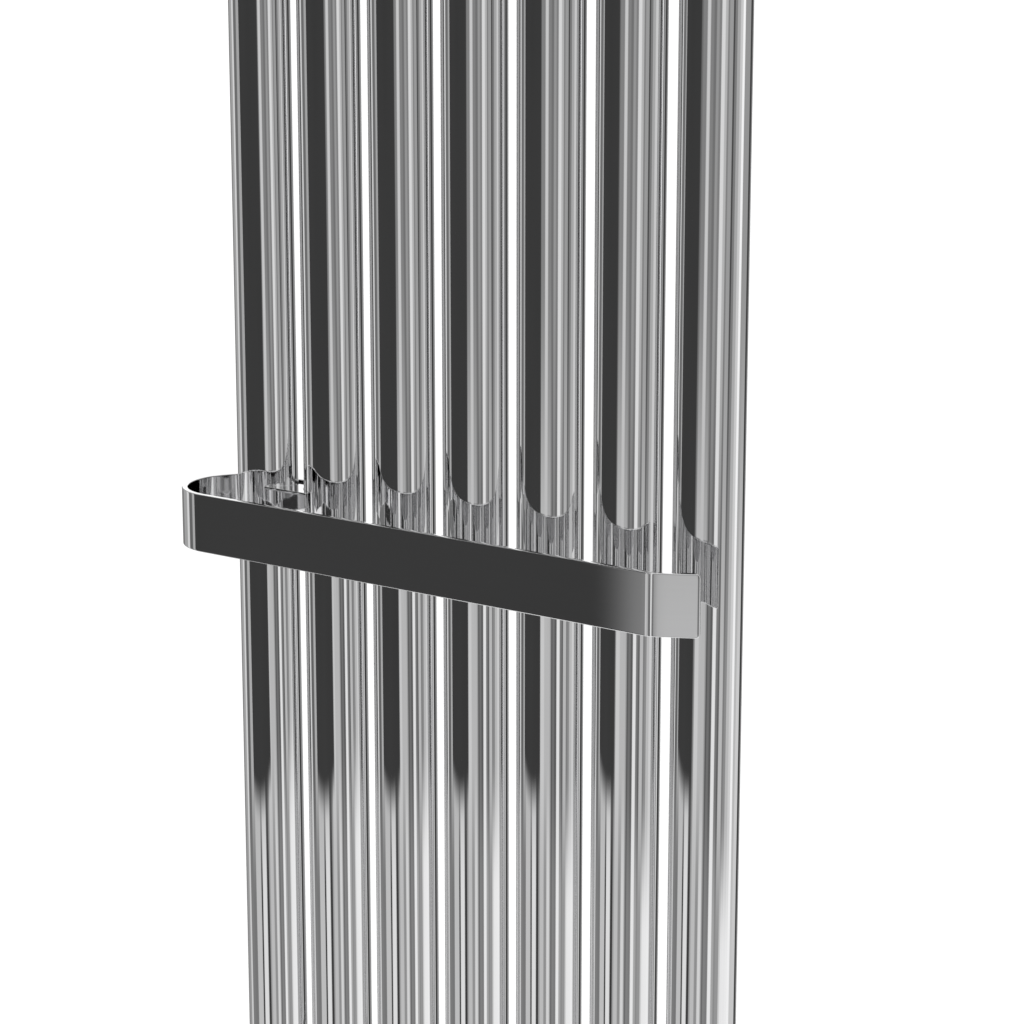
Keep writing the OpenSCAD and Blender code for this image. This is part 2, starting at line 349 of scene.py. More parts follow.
class Shape:
    """A closed mesh in millimetres, drawn with mesh operators."""

    def __init__(self) -> None:
        """An empty shape."""
        self.bm = bmesh.new()

    def add(self, part: "Shape", place: Matrix | None = None) -> "Shape":
        """Takes in another shape.

        Args:
            part: the shape to take in; it is used up.
            place: how to move it first.

        Returns:
            This shape.
        """
        mesh = bpy.data.meshes.new("part")
        part.bm.to_mesh(mesh)
        part.bm.free()
        if place is not None:
            mesh.transform(place)
        self.bm.from_mesh(mesh)
        bpy.data.meshes.remove(mesh)
        return self

    def moved(self, place: Matrix) -> "Shape":
        """Moves the whole shape."""
        bmesh.ops.transform(self.bm, matrix=place, verts=self.bm.verts)
        return self

    def tidy(self) -> "Shape":
        """Merges doubled points and turns every face outward."""
        bmesh.ops.remove_doubles(self.bm, verts=self.bm.verts, dist=MERGE)
        bmesh.ops.recalc_face_normals(self.bm, faces=self.bm.faces)
        return self

    def sharp(self, degrees: float) -> Edges:
        """Edges where two faces meet at more than an angle."""
        limit = math.radians(degrees)
        return [e for e in self.bm.edges if len(e.link_faces) == 2 and e.calc_face_angle(0.0) > limit]

    def rounded(self, edges: Edges, width: float, segments: int) -> list[bmesh.types.BMFace]:
        """Rounds edges.

        Args:
            edges: the edges.
            width: how far the rounding reaches, in millimetres.
            segments: how many faces the rounding has.

        Returns:
            The rounding's faces.
        """
        return bmesh.ops.bevel(self.bm, geom=edges, offset=width, offset_type="OFFSET", segments=segments,
                               profile=0.5, affect="EDGES", clamp_overlap=True, material=-1)["faces"]

    def soften(self, width: float, degrees: float = 42.0) -> "Shape":
        """Rounds every edge sharper than an angle, and keeps flat faces flat to the light.

        Args:
            width: how far the rounding reaches, in millimetres.
            degrees: the angle above which an edge is rounded.

        Returns:
            This shape.
        """
        self.tidy()
        rounded = set(self.rounded(self.sharp(degrees), width, 3))
        flat = [f for f in self.bm.faces if f not in rounded
                and all(len(e.link_faces) == 2 and any(g in rounded for g in e.link_faces) for e in f.edges)]
        if flat:
            bmesh.ops.inset_individual(self.bm, faces=flat, thickness=min(width, 0.3), use_even_offset=True)
        return self


def points(geom: list) -> list[bmesh.types.BMVert]:
    """The points among an operator's results."""
    return [g for g in geom if isinstance(g, bmesh.types.BMVert)]


def swept(shape: Shape, edges: Edges, *moves: Triple) -> Edges:
    """Draws walls from edges by one move after another.

    Args:
        shape: the shape that holds the edges.
        edges: where the walls start.
        moves: how far each stretch of wall goes.

    Returns:
        The edges where the walls end.
    """
    for move in moves:
        made = bmesh.ops.extrude_edge_only(shape.bm, edges=edges)["geom"]
        verts = points(made)
        bmesh.ops.translate(shape.bm, verts=verts, vec=move)
        known = set(verts)
        edges = [g for g in made if isinstance(g, bmesh.types.BMEdge) and set(g.verts) <= known]
    return edges


def raised(shape: Shape, edges: Edges, height: float, margin: float) -> Edges:
    """Draws walls along Z with a short stretch at their foot and head, and gives their end."""
    stretches = (margin, height - 2 * margin, margin)
    return swept(shape, edges, *((0.0, 0.0, rise) for rise in stretches))


def thickened(shape: Shape, height: float) -> Shape:
    """Gives a flat shape its height along Z."""
    made = bmesh.ops.extrude_face_region(shape.bm, geom=list(shape.bm.faces), use_keep_orig=True)["geom"]
    bmesh.ops.translate(shape.bm, verts=points(made), vec=(0.0, 0.0, height))
    return shape


def circle(shape: Shape, radius: float, segments: int, place: Matrix) -> Edges:
    """Draws one open circle and gives its edges.

    Args:
        shape: the shape that takes it.
        radius: its radius.
        segments: how many edges it has.
        place: where it goes, from flat round the origin.

    Returns:
        Its edges.
    """
    made = bmesh.ops.create_circle(shape.bm, cap_ends=False, segments=segments, radius=radius, matrix=place)
    return list({e for v in made["verts"] for e in v.link_edges})


def ring_edges(shape: Shape, radius: float, segments: int, height: float = 0.0) -> Edges:
    """Draws one open circle round the Z axis and gives its edges."""
    return circle(shape, radius, segments, Matrix.Translation((0.0, 0.0, height)))


def hexagon(shape: Shape, key: float) -> Edges:
    """Draws a hexagon for a key of that size and gives its edges."""
    return ring_edges(shape, key / 2 / math.cos(math.pi / 6), 6)


def holed(shape: Shape, rim: Edges, hole: Edges, normal: Triple = (0.0, 0.0, 1.0)) -> None:
    """Fills the face between a rim and a hole in it."""
    bmesh.ops.triangle_fill(shape.bm, edges=rim + hole, use_beauty=True, use_dissolve=False, normal=normal)


def sunk(shape: Shape, edges: Edges, move: Triple) -> None:
    """Draws walls from a loop and closes them with one face at their end."""
    bmesh.ops.contextual_create(shape.bm, geom=swept(shape, edges, move))


def spun(shape: Shape, geom: list, steps: int) -> None:
    """Turns a profile once round the Z axis."""
    bmesh.ops.spin(shape.bm, geom=geom, cent=(0.0, 0.0, 0.0), axis=(0.0, 0.0, 1.0),
                   angle=math.tau, steps=steps, use_merge=True)


def turned(profile: Profile, hollow: bool, steps: int = 72) -> Shape:
    """A turned part round the Z axis.

    Args:
        profile: points of (radius, height); a hollow part's profile closes on itself.
        hollow: whether the part is a ring; else each end is closed with a flat face.
        steps: how many faces go round.

    Returns:
        The part.
    """
    shape = Shape()
    verts = [shape.bm.verts.new((r, 0.0, h)) for r, h in profile]
    pairs = list(zip(verts, verts[1:])) + ([(verts[-1], verts[0])] if hollow else [])
    edges = [shape.bm.edges.new(pair) for pair in pairs]
    spun(shape, verts + edges, steps)
    if not hollow:
        ends = [e for e in shape.bm.edges if e.is_boundary]
        bmesh.ops.holes_fill(shape.bm, edges=ends, sides=0)
    return shape.tidy()


def bead(radius: float, size: float, height: float, steps: int) -> Shape:
    """A round weld bead, laid round the Z axis.

    Args:
        radius: how far its middle line is from the axis.
        size: the bead's own radius.
        height: its height on the axis.
        steps: how many faces go round.

    Returns:
        The bead.
    """
    shape = Shape()
    place = Matrix.Translation((radius, 0.0, height)) @ Matrix.Rotation(math.pi / 2, 4, "X")
    edges = circle(shape, size, 12, place)
    spun(shape, list(shape.bm.verts) + edges, steps)
    return shape.tidy()


def oval(width: float, depth: float, height: float, wall: float = 0.0, segments: int = 288) -> Shape:
    """An elliptic prism standing on the XY plane.

    Args:
        width: its size along X.
        depth: its size along Y.
        height: its size along Z.
        wall: its wall's thickness, or 0 for a solid.
        segments: how many faces go round.

    Returns:
        The prism.
    """
    shape = Shape()
    outer = ring_edges(shape, 1.0, segments)
    bmesh.ops.scale(shape.bm, vec=(width / 2, depth / 2, 1.0), verts=shape.bm.verts)
    if wall:
        known = set(shape.bm.verts)
        inner = ring_edges(shape, 1.0, segments)
        fresh = [v for v in shape.bm.verts if v not in known]
        bmesh.ops.scale(shape.bm, vec=(width / 2 - wall, depth / 2 - wall, 1.0), verts=fresh)
        bmesh.ops.bridge_loops(shape.bm, edges=outer + inner)
    else:
        bmesh.ops.contextual_create(shape.bm, geom=outer)
    return thickened(shape, height).tidy()


def keyed_disc(radius: float, height: float, key: float, depth: float) -> Shape:
    """A solid round head with a hexagon hole, whose top is at z = 0.

    Args:
        radius: its radius.
        height: its height.
        key: the hexagon's key size.
        depth: the hexagon's depth.

    Returns:
        The head.
    """
    shape = Shape()
    rim = ring_edges(shape, radius, 72)
    hole = hexagon(shape, key)
    holed(shape, rim, hole)
    sunk(shape, rim, (0.0, 0.0, -height))
    sunk(shape, hole, (0.0, 0.0, -depth))
    return shape.tidy()


def along_x(x: float, z: float, side: int = 1) -> Matrix:
    """Turns a part's Z axis to +X or -X and puts its origin on a header's axis."""
    turn = Matrix.Rotation(side * math.pi / 2, 4, "Y")
    return Matrix.Translation((x, HEADER_Y, z)) @ turn


def along_y(x: float, y: float, z: float, forward: bool = False) -> Matrix:
    """Turns a part's Z axis to +Y, or to -Y if forward, and puts its origin at a point."""
    turn = Matrix.Rotation((1 if forward else -1) * math.pi / 2, 4, "X")
    return Matrix.Translation((x, y, z)) @ turn


def piece(shape: Shape, name: str, finish: Finish, body: Body, *nodes: str) -> bpy.types.Object:
    """Turns a shape into a finished object that rides on a CAD body.

    Args:
        shape: the mesh, in millimetres and in place; it is used up.
        name: the piece's name.
        finish: what it is made of.
        body: the CAD body it rides on.
        nodes: the CAD nodes it stands for.

    Returns:
        The new object.
    """
    shape.tidy()
    for face in shape.bm.faces:
        face.smooth = True
    for edge in shape.sharp(CREASE):
        edge.smooth = False
    open_edges = sum(1 for e in shape.bm.edges if not e.is_manifold)
    bmesh.ops.scale(shape.bm, vec=(MM, MM, MM), verts=shape.bm.verts)
    mesh = bpy.data.meshes.new(name)
    shape.bm.to_mesh(mesh)
    shape.bm.free()
    mesh.materials.append(finish.material())
    made = bpy.data.objects.new(name, mesh)
    bpy.context.scene.collection.objects.link(made)
    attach(made, body.value)
    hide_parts(*nodes)
    log.info("%s: %d faces, %d open edges", name, len(mesh.polygons), open_edges)
    return made


# Radiator


@dataclass
class OvalTubes:
    """The seven upright tubes and the plates that close their ends."""

    width: float = 49.5
    depth: float = 28.5
    wall: float = 1.5
    cap: float = 2.0
    edge: float = 0.7

    def tube(self, number: int) -> bpy.types.Object:
        """One tube, between its two end plates.

        Args:
            number: the tube's number, from 1 at the left.

        Returns:
            The new piece.
        """
        height = 2 * (BODY_TOP - self.cap)
        shape = oval(self.width, self.depth, height, self.wall)
        shape.moved(Matrix.Translation((tube_x(number), TUBE_Y, -height / 2)))
        return piece(shape, f"oval_tube_{number}", Finish.TUBE, Body.RADIATOR, f"tube_{number}")

    def plate(self, number: int, level: Level) -> bpy.types.Object:
        """The plate that closes one end of one tube.

        Args:
            number: the tube's number, from 1 at the left.
            level: the end it closes.

        Returns:
            The new piece.
        """
        shape = oval(self.width, self.depth, self.cap, segments=192).soften(self.edge)
        base = BODY_TOP - self.cap if level is Level.UPPER else -BODY_TOP
        shape.moved(Matrix.Translation((tube_x(number), TUBE_Y, base)))
        word = "top" if level is Level.UPPER else "base"
        return piece(shape, f"{word}_plate_{number}", Finish.TUBE, Body.RADIATOR, f"{word}_cap_{number}")

    def build(self) -> None:
        """All the tubes and plates."""
        for number in range(1, TUBE_COUNT + 1):
            self.tube(number)
            for level in Level:
                self.plate(number, level)


@dataclass
class Headers:
    """The two pipes behind the tubes, with their nipples, sockets and inner plate."""

    radius: float = 15.0
    wall: float = 1.5
    thread_r: float = 9.315
    thread_root: float = 10.4
    thread_pitch: float = 1.814
    thread_len: float = 14.0
    thread_crest: float = 0.12
    thread_free: float = 2.0
    lip: float = 0.8
    lip_round: float = 0.25
    mouth_r: float = 11.3
    mouth: float = 0.7
    way_r: float = 7.0
    nipple_r: float = 8.0
    nipple_bore: float = 6.5
    tube_weld: tuple[tuple[float, float], ...] = ((2.0, -1.6), (1.1, 0.2), (0.5, 1.0))
    header_weld: tuple[tuple[float, float], ...] = ((0.5, -1.0), (1.2, -0.1), (2.2, 2.0))
    tube_sink: float = 2.0
    header_sink: float = 2.4
    bead: float = 0.8
    bead_sink: float = 0.25

    def pipe(self, level: Level) -> bpy.types.Object:
        """One header pipe with its weld seams at both ends.

        Args:
            level: which header it is.

        Returns:
            The new piece.
        """
        inner = self.radius - self.wall
        shape = turned([(inner, -HEADER_END), (self.radius, -HEADER_END),
                        (self.radius, HEADER_END), (inner, HEADER_END)], hollow=True, steps=128)
        for side in Side:
            shape.add(bead(self.radius - self.bead_sink, self.bead, side.value * HEADER_END, steps=128))
        shape.moved(along_x(0.0, level.value * HEADER_Z))
        word = level.name.lower()
        return piece(shape, f"{word}_header_pipe", Finish.FITTING, Body.RADIATOR, f"{word}_header")

    def nipples(self, level: Level) -> bpy.types.Object:
        """The seven short nipples of one header, with their weld fillets.

        Args:
            level: the header they stand on.

        Returns:
            The new piece.
        """
        back = TUBE_Y + OvalTubes.depth / 2
        front = HEADER_Y - self.radius
        profile = [(self.nipple_bore, back - self.tube_sink)]
        profile += [(self.nipple_r + out, back + along) for out, along in self.tube_weld]
        profile += [(self.nipple_r + out, front + along) for out, along in self.header_weld]
        profile += [(self.nipple_bore, front + self.header_sink)]
        shape = Shape()
        for number in range(1, TUBE_COUNT + 1):
            one = turned(profile, hollow=True, steps=64)
            shape.add(one, along_y(tube_x(number), 0.0, level.value * HEADER_Z))
        word = level.name.lower()
        return piece(shape, f"{word}_weld_nipples", Finish.WELD, Body.RADIATOR, f"{word}_nipples")

    def socket(self, level: Level, side: Side, node: str) -> bpy.types.Object:
        """One threaded end socket.

        Args:
            level: the header it closes.
            side: the end it closes.
            node: the CAD node it stands for.

        Returns:
            The new piece.
        """
        length = SOCKET_END - HEADER_END
        start = length - self.thread_len
        profile = [(self.way_r, 0.0), (self.radius, 0.0), (self.radius, length - self.lip),
                   (self.radius - self.lip_round, length - self.lip_round), (self.radius - self.lip, length),
                   (self.mouth_r, length), (self.thread_root, length - self.mouth)]
        for turn in range(int((self.thread_len - self.thread_free) / self.thread_pitch)):
            crest = length - self.mouth - self.thread_pitch * (turn + 0.5)
            profile += [(self.thread_r, crest + self.thread_crest),
                        (self.thread_r, crest - self.thread_crest),
                        (self.thread_root, crest - self.thread_pitch * 0.5)]
        profile += [(self.thread_root, start), (self.way_r, start)]
        shape = turned(profile, hollow=True, steps=96)
        shape.moved(along_x(side.value * HEADER_END, level.value * HEADER_Z, side.value))
        return piece(shape, f"{node}_turned", Finish.FITTING, Body.RADIATOR, node)

    def build(self) -> None:
        """Both headers with everything welded to them."""
        for level in Level:
            self.pipe(level)
            self.nipples(level)
        names = ("inlet_socket", "outlet_socket", "vent_socket", "plug_socket")
        ends = ((level, side) for level in (Level.LOWER, Level.UPPER) for side in Side)
        for (level, side), name in zip(ends, names):
            self.socket(level, side, name)
        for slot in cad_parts["flow_baffle"].material_slots:
            slot.material = Finish.WELD.material()


@dataclass
class EndFittings:
    """The blanking plug, the air vent and their seals at the ends of the upper header."""

    flange_r: float = 13.0
    flange_t: float = 4.0
    seal_t: float = 1.5
    seal_bore: float = 9.4
    seal_inset: float = 0.5
    seal_edge: float = 0.35
    shank_r: float = 9.2
    shank_len: float = 9.5
    shank_lead: float = 0.8
    shank_bite: float = 0.3
    key: float = 10.0
    key_floor: float = 0.6
    plug_edge: float = 0.6
    nose_r: float = 6.0
    nose_len: float = 7.0
    bore_r: float = 2.6
    vent_edge: float = 0.5
    screw_r: float = 2.5
    screw_inset: float = 2.0
    screw_proud: float = 0.5
    square: float = 5.0
    square_edge: float = 0.45

    def seal(self, side: Side, node: str) -> bpy.types.Object:
        """One flat rubber ring.

        Args:
            side: the end it seals.
            node: the CAD node it stands for.

        Returns:
            The new piece.
        """
        rim = self.flange_r - self.seal_inset
        shape = turned([(self.seal_bore, 0.0), (rim, 0.0), (rim, self.seal_t),
                        (self.seal_bore, self.seal_t)], hollow=True)
        shape.soften(self.seal_edge).moved(along_x(side.value * SOCKET_END, HEADER_Z, side.value))
        return piece(shape, f"{node}_ring", Finish.SEAL, Body.RADIATOR, node)

    def plug(self) -> bpy.types.Object:
        """The blanking plug with its hexagon hole."""
        start = SOCKET_END + self.seal_t
        head = keyed_disc(self.flange_r, self.flange_t, self.key, self.flange_t - self.key_floor)
        shape = head.soften(self.plug_edge).moved(Matrix.Translation((0.0, 0.0, self.flange_t)))
        shape.add(turned([(self.shank_r - self.shank_lead, -self.shank_len),
                          (self.shank_r, -self.shank_len + self.shank_lead),
                          (self.shank_r, 0.0), (self.shank_r, self.shank_bite)], hollow=False))
        shape.moved(along_x(start, HEADER_Z))
        return piece(shape, "blanking_plug_body", Finish.FITTING, Body.RADIATOR, "blanking_plug")

    def vent(self) -> bpy.types.Object:
        """The air vent's body, with the bore that holds its screw."""
        start = SOCKET_END + self.seal_t
        tip = self.flange_t + self.nose_len
        profile = [(self.bore_r, -self.shank_len), (self.shank_r, -self.shank_len), (self.shank_r, 0.0),
                   (self.flange_r, 0.0), (self.flange_r, self.flange_t), (self.nose_r, self.flange_t),
                   (self.nose_r, tip), (self.bore_r, tip)]
        shape = turned(profile, hollow=True).soften(self.vent_edge)
        shape.moved(along_x(-start, HEADER_Z, -1))
        return piece(shape, "air_vent_body", Finish.FITTING, Body.RADIATOR, "vent_body")

    def vent_screw(self) -> bpy.types.Object:
        """The vent's screw, whose square end takes a key."""
        start = SOCKET_END + self.seal_t + self.screw_inset
        end = SOCKET_END + self.seal_t + self.flange_t + self.nose_len + self.screw_proud
        shape = turned([(self.screw_r, 0.0), (self.screw_r, end - start)], hollow=False, steps=48)
        square = Shape()
        bmesh.ops.create_cube(square.bm, size=self.square)
        square.soften(self.square_edge)
        shape.add(square, Matrix.Translation((0.0, 0.0, end - start + self.square / 2)))
        shape.moved(along_x(-start, HEADER_Z, -1))
        return piece(shape, "vent_screw_turned", Finish.ZINC, Body.VENT, "vent_screw")

    def build(self) -> None:
        """Everything at the ends of the upper header."""
        self.seal(Side.RIGHT, "plug_seal")
        self.seal(Side.LEFT, "vent_seal")
        self.plug()
        self.vent()
        self.vent_screw()


@dataclass
class Brackets:
    """The four wall stands, the sleeves that slide over them and their locking screws."""

    wall_x: float = 120.0
    foot_r: float = 18.0
    foot_t: float = 3.0
    stem_r: float = 10.0
    reach: float = 31.0
    cup_r: float = 6.5
    cup_floor: float = 6.0
    hole_r: float = 3.25
    sleeve_r: float = 12.5
    sleeve_bore: float = 10.1
    sleeve_start: float = 8.0
    sleeve_end: float = 44.5
    grub_r: float = 2.4
    grub_y: float = -23.5
    grub_tail: float = 14.0
    grub_tip: float = 10.05
    grub_key: float = 2.5
    grub_key_depth: float = 1.5
    grub_edge: float = 0.25
    stand_edge: float = 0.5
    sleeve_edge: float = 0.4

    def stand(self) -> Shape:
        """One turned stand, with its hollow for the wall screw."""
        profile = [(self.hole_r, 0.0), (self.foot_r, 0.0), (self.foot_r, self.foot_t),
                   (self.stem_r, self.foot_t), (self.stem_r, self.reach), (self.cup_r, self.reach),
                   (self.cup_r, self.cup_floor), (self.hole_r, self.cup_floor)]
        return turned(profile, hollow=True, steps=96).soften(self.stand_edge)

    def sleeve(self) -> Shape:
        """One sleeve, from behind the foot to the header."""
        profile = [(self.sleeve_bore, self.sleeve_start), (self.sleeve_r, self.sleeve_start),
                   (self.sleeve_r, self.sleeve_end), (self.sleeve_bore, self.sleeve_end)]
        return turned(profile, hollow=True, steps=96).soften(self.sleeve_edge)

    def grub(self) -> Shape:
        """One locking screw with its hexagon hole turned down."""
        shape = keyed_disc(self.grub_r, self.grub_tail - self.grub_tip, self.grub_key, self.grub_key_depth)
        return shape.soften(self.grub_edge).moved(Matrix.Rotation(math.pi, 4, "X"))

    def build(self) -> None:
        """All four brackets."""
        for level in Level:
            for side in Side:
                where = f"{level.name.lower()}_{side.name.lower()}"
                x, z = side.value * self.wall_x, level.value * HEADER_Z
                out = along_y(x, 0.0, z, True)
                piece(self.stand().moved(out), f"wall_stand_{where}", Finish.BRACKET,
                      Body.RADIATOR, f"stand_{where}")
                piece(self.sleeve().moved(out), f"slide_sleeve_{where}", Finish.BRACKET,
                      Body.RADIATOR, f"sleeve_{where}")
                low = Matrix.Translation((x, self.grub_y, z - self.grub_tail))
                piece(self.grub().moved(low), f"locking_screw_{where}", Finish.ZINC,
                      Body.RADIATOR, f"grub_{where}")


# Towel rail


@dataclass
class TowelRail:
    """The bent flat bar: back leg, round bend, front face and angled flap."""

    height: float = 39.5
    thick: float = 4.0
    leg_end: float = -131.25
    leg_y: float = -65.0
    bend_x: float = -184.0
    front_y: float = -147.0
    flap_x: float = 176.5
    flap_r: float = 11.0
    flap_angle: float = 29.0
    flap_len: float = 28.0
    corner: float = 2.2
    edge: float = 0.55
    margin: float = 3.0
    guard: float = 1.0
    bend_steps: int = 120
    flap_steps: int = 24

    def path(self, shape: Shape) -> None:
        """Draws the bar's outer line, from the end of the back leg round to the flap's tip.

        Args:
            shape: the shape that takes the line.
        """
        bend_r = (self.leg_y - self.front_y) / 2
        last = shape.bm.verts.new((self.leg_end, self.leg_y, 0.0))

        def run(length: float, degrees: float) -> None:
            """Draws a straight run with a short margin at each end.

            Args:
                length: how long it is.
                degrees: its heading, from +X towards +Y.
            """
            nonlocal last
            heading = Vector((math.cos(math.radians(degrees)), math.sin(math.radians(degrees)), 0.0))
            for share in (self.margin, length - 2 * self.margin, self.margin):
                made = bmesh.ops.extrude_vert_indiv(shape.bm, verts=[last])["verts"]
                bmesh.ops.translate(shape.bm, verts=made, vec=heading * share)
                last = made[0]

        def bend(centre: tuple[float, float], degrees: float, steps: int) -> None:
            """Draws an arc.

            Args:
                centre: its centre.
                degrees: how far it turns to the left.
                steps: how many edges it has.
            """
            nonlocal last
            made = bmesh.ops.spin(shape.bm, geom=[last], cent=(*centre, 0.0), axis=(0.0, 0.0, 1.0),
                                  angle=math.radians(degrees), steps=steps)["geom_last"]
            last = next(g for g in made if isinstance(g, bmesh.types.BMVert))

        run(self.leg_end - self.bend_x, 180.0)
        bend((self.bend_x, self.leg_y - bend_r), 180.0, self.bend_steps)
        run(self.flap_x - self.bend_x, 0.0)
        bend((self.flap_x, self.front_y + self.flap_r), self.flap_angle, self.flap_steps)
        run(self.flap_len, self.flap_angle)

    def build(self) -> bpy.types.Object:
        """The finished bar."""
        shape = Shape()
        self.path(shape)
        raised(shape, list(shape.bm.edges), self.height, self.margin)
        bmesh.ops.recalc_face_normals(shape.bm, faces=shape.bm.faces)
        front = min(shape.bm.faces, key=lambda f: f.calc_center_median().y)
        if front.normal.y > 0:
            bmesh.ops.reverse_faces(shape.bm, faces=shape.bm.faces)
        shape.bm.normal_update()
        bmesh.ops.solidify(shape.bm, geom=list(shape.bm.faces), thickness=self.thick)
        shape.tidy()
        self.round_corners(shape)
        shape.soften(self.edge, CORNER)
        for level in (self.guard, self.height - self.guard):
            whole = [*shape.bm.verts, *shape.bm.edges, *shape.bm.faces]
            bmesh.ops.bisect_plane(shape.bm, geom=whole, dist=0.0001,
                                   plane_co=(0.0, 0.0, level), plane_no=(0.0, 0.0, 1.0))
        shape.moved(Matrix.Translation((0.0, 0.0, RAIL_Z - self.height / 2)))
        return piece(shape, "towel_rail_bar", Finish.RAIL, Body.RAIL, "rail_strip")

    def round_corners(self, shape: Shape) -> None:
        """Rounds the four corners at the bar's two ends.

        Args:
            shape: the bar, from z = 0 up.
        """
        corners = [e for e in shape.sharp(CORNER)
                   if abs(e.verts[0].co.z - e.verts[1].co.z) < NEAR
                   and self.thick * 0.9 < e.calc_length() < self.thick * 1.1
                   and abs(abs(e.verts[0].co.z - self.height / 2) - self.height / 2) < NEAR]
        shape.rounded(corners, self.corner, 5)


@dataclass
class RailClamp:
    """The block between the first two tubes, with its screw, nut and pad."""

    width: float = 37.5
    height: float = 39.5
    front_y: float = -101.0
    neck_y: float = -80.0
    tube_a: float = 25.05
    tube_b: float = 14.55
    head_r: float = 5.0
    head_hole: float = 5.3
    head_y: float = -100.5
    head_len: float = 6.0
    head_slack: float = 0.8
    head_key: float = 5.0
    head_key_depth: float = 3.2
    shank_r: float = 3.0
    shank_end: float = -59.0
    shank_lead: float = 0.8
    shank_bite: float = 0.1
    nut_key: float = 10.0
    nut_y: float = -65.0
    nut_t: float = 5.0
    pad_t: float = 0.5
    pad_y: float = -69.55
    pad_h: float = 30.0
    pad_edge: float = 0.2
    nut_slack: float = 0.05
    edge: float = 0.4
    screw_edge: float = 0.35
    margin: float = 1.0

    def block(self) -> bpy.types.Object:
        """The block, hollowed on both sides to the tubes' shape."""
        shape = Shape()
        half = self.width / 2
        shoulder = math.acos((TUBE_PITCH / 2 - half) / self.tube_a)
        bm = shape.bm
        first = bm.verts.new((math.cos(math.pi - shoulder), -math.sin(math.pi - shoulder), 0.0))
        bmesh.ops.spin(bm, geom=[first], cent=(0.0, 0.0, 0.0), axis=(0.0, 0.0, 1.0),
                       angle=-shoulder, steps=40)
        bmesh.ops.scale(bm, vec=(self.tube_a, self.tube_b, 1.0), verts=bm.verts)
        bmesh.ops.translate(bm, vec=(TUBE_PITCH / 2, TUBE_Y, 0.0), verts=bm.verts)
        low = min(bm.verts, key=lambda v: v.co.y)
        high = max(bm.verts, key=lambda v: v.co.y)
        for start, x, y in ((low, low.co.x, self.front_y), (high, high.co.x, self.neck_y)):
            made = bmesh.ops.extrude_vert_indiv(bm, verts=[start])["verts"][0]
            made.co = (x, y, 0.0)
            end = bmesh.ops.extrude_vert_indiv(bm, verts=[made])["verts"][0]
            end.co = (0.0, y, 0.0)
        bmesh.ops.mirror(bm, geom=list(bm.verts) + list(bm.edges), axis="X", merge_dist=0.001)
        middle = [v for v in bm.verts if abs(v.co.x) < 0.001]
        bmesh.ops.dissolve_verts(bm, verts=middle)
        edges = list(bm.edges)
        bmesh.ops.contextual_create(bm, geom=edges)
        bmesh.ops.contextual_create(bm, geom=raised(shape, edges, self.height, self.margin))
        shape.soften(self.edge, CORNER)
        self.counterbore(shape)
        shape.moved(Matrix.Translation((CLAMP_X, 0.0, RAIL_Z - self.height / 2)))
        return piece(shape, "clamp_saddle_block", Finish.RAIL, Body.RAIL, "clamp_block")

    def counterbore(self, shape: Shape) -> None:
        """Sinks the hole for the screw's head into the block's front face.

        Args:
            shape: the block, from z = 0 up.
        """
        bm = shape.bm
        bm.normal_update()
        front = [f for f in bm.faces if abs(f.calc_center_median().y - self.front_y) < NEAR]
        big = max(front, key=lambda f: f.calc_area())
        bmesh.ops.inset_individual(bm, faces=[big], thickness=self.margin, use_even_offset=True)
        rim = list(big.edges)
        bmesh.ops.delete(bm, geom=[big], context="FACES_ONLY")
        hole = circle(shape, self.head_hole, 64, along_y(0.0, self.front_y, self.height / 2, True))
        holed(shape, rim, hole, (0.0, -1.0, 0.0))
        sunk(shape, hole, (0.0, self.head_len + self.head_slack, 0.0))

    def screw(self) -> bpy.types.Object:
        """The clamp screw with its hexagon hole."""
        shape = keyed_disc(self.head_r, self.head_len, self.head_key, self.head_key_depth)
        shape.soften(self.screw_edge)
        neck = self.head_y + self.head_len
        length = self.shank_end - neck
        shank = turned([(self.shank_r, 0.0), (self.shank_r, length - self.shank_lead),
                        (self.shank_r - self.shank_lead, length)], hollow=False, steps=48)
        shape.add(shank.moved(Matrix.Rotation(math.pi, 4, "X")),
                  Matrix.Translation((0.0, 0.0, self.shank_bite - self.head_len)))
        shape.moved(along_y(CLAMP_X, self.head_y, RAIL_Z, True))
        return piece(shape, "clamp_cap_screw", Finish.ZINC, Body.RAIL, "clamp_screw")

    def nut(self) -> bpy.types.Object:
        """The nut behind the back leg."""
        shape = Shape()
        rim = hexagon(shape, self.nut_key)
        holed(shape, rim, ring_edges(shape, self.shank_r + self.nut_slack, 48))
        thickened(shape, self.nut_t).soften(self.screw_edge).moved(along_y(CLAMP_X, self.nut_y, RAIL_Z))
        return piece(shape, "clamp_hex_nut", Finish.ZINC, Body.RAIL, "clamp_nut")

    def pad(self) -> bpy.types.Object:
        """The thin strip between the back leg and the tubes."""
        shape = Shape()
        bmesh.ops.create_cube(shape.bm, size=1.0)
        length = TowelRail.leg_end - TowelRail.bend_x
        bmesh.ops.scale(shape.bm, vec=(length, self.pad_t, self.pad_h), verts=shape.bm.verts)
        shape.soften(self.pad_edge)
        shape.moved(Matrix.Translation((TowelRail.bend_x + length / 2, self.pad_y + self.pad_t / 2, RAIL_Z)))
        return piece(shape, "clamp_pad_strip", Finish.PAD, Body.RAIL, "clamp_pad")

    def build(self) -> None:
        """The whole clamp."""
        self.block()
        self.screw()
        self.nut()
        self.pad()


# Studio


def radiance(tone: float) -> float:
    """Light that a bright metal shows as a display tone between 0 and 1."""
    linear = tone / 12.92 if tone < 0.04045 else ((tone + 0.055) / 1.055) ** 2.4
    return linear / METAL_RETURN


